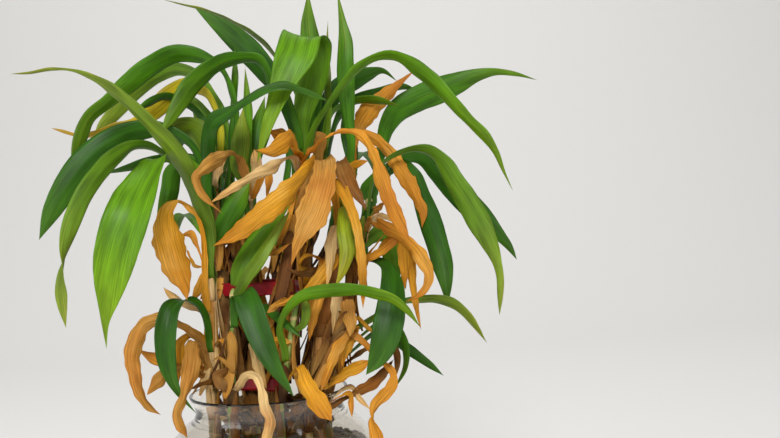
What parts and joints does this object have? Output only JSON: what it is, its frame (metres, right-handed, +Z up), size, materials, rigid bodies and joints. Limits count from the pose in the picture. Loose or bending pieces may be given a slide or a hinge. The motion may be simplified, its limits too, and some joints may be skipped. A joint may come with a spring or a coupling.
{
  "type": "dead houseplant",
  "caption": "Dying lucky bamboo: tied canes with green and dried leaves, standing in gravel in a round clear glass bowl with a flared rim.",
  "frame": {"origin": "centre of the bowl's flat foot, on the surface that it stands on", "axes": "+Z up through the bowl's middle, the pictured side faces -Y, +X to its right"},
  "size_m": [0.3516, 0.2698, 0.4573],
  "materials": {
    "glass": "clear blown glass",
    "gravel": "rounded pebbles",
    "cane": "satin, ringed by leaf scars",
    "ribbon": "satin ribbon",
    "green_leaf": "waxy living leaf",
    "yellow_leaf": "waxy, fading leaf",
    "dry_leaf": "dull dried leaf"
  },
  "bodies": {
    "root": {"back_leaf_high": "green_leaf", "back_leaf_left": "green_leaf", "back_leaf_low_left": "green_leaf", "back_leaf_low_right": "green_leaf", "back_leaf_right": "green_leaf", "back_leaf_side_right": "green_leaf", "cane_back": "cane", "cane_back_right": "cane", "cane_centre": "cane", "cane_centre_back": "cane", "cane_front_left": "cane", "cane_front_right": "cane", "cane_left": "cane", "cane_left_back": "cane", "cane_left_tall": "cane", "cane_middle": "cane", "cane_right": "cane", "cane_right_centre": "cane", "cane_right_front": "cane", "cane_trunk": "cane", "dry_leaf_arch_inner": "dry_leaf", "dry_leaf_arch_outer": "dry_leaf", "dry_leaf_balloon": "dry_leaf", "dry_leaf_big_centre": "dry_leaf", "dry_leaf_big_left": "dry_leaf", "dry_leaf_flap_front": "dry_leaf", "dry_leaf_over_rim_left": "dry_leaf", "dry_leaf_pale_over_rim": "dry_leaf", "dry_leaf_right_loop": "dry_leaf", "dry_leaf_strip_centre": "dry_leaf", "dry_leaf_twist_right": "dry_leaf", "dry_leaf_upright": "dry_leaf", "dry_leaf_zigzag": "dry_leaf", "glass_bowl": "glass", "gravel": "gravel", "leaf_arch_right": "green_leaf", "leaf_arch_top_left": "green_leaf", "leaf_big_right": "green_leaf", "leaf_broad_front": "green_leaf", "leaf_dark_back_right": "green_leaf", "leaf_dark_broad_right": "green_leaf", "leaf_dark_front": "green_leaf", "leaf_dark_hanging_right": "green_leaf", "leaf_dark_left": "green_leaf", "leaf_dark_top_left": "green_leaf", "leaf_dark_top_right": "green_leaf", "leaf_folded_bright": "green_leaf", "leaf_front_arch": "green_leaf", "leaf_hanging_front_left": "green_leaf", "leaf_light_green": "green_leaf", "leaf_long_arch": "green_leaf", "leaf_pale_back_left": "green_leaf", "leaf_pale_right": "green_leaf", "leaf_sharp_bend": "green_leaf", "leaf_twisted_left": "green_leaf", "leaf_upright_right": "green_leaf", "leaf_upright_top": "green_leaf", "leaf_yellow": "yellow_leaf", "ribbon_lower": "ribbon", "ribbon_upper": "ribbon"}
  },
  "joints": []
}
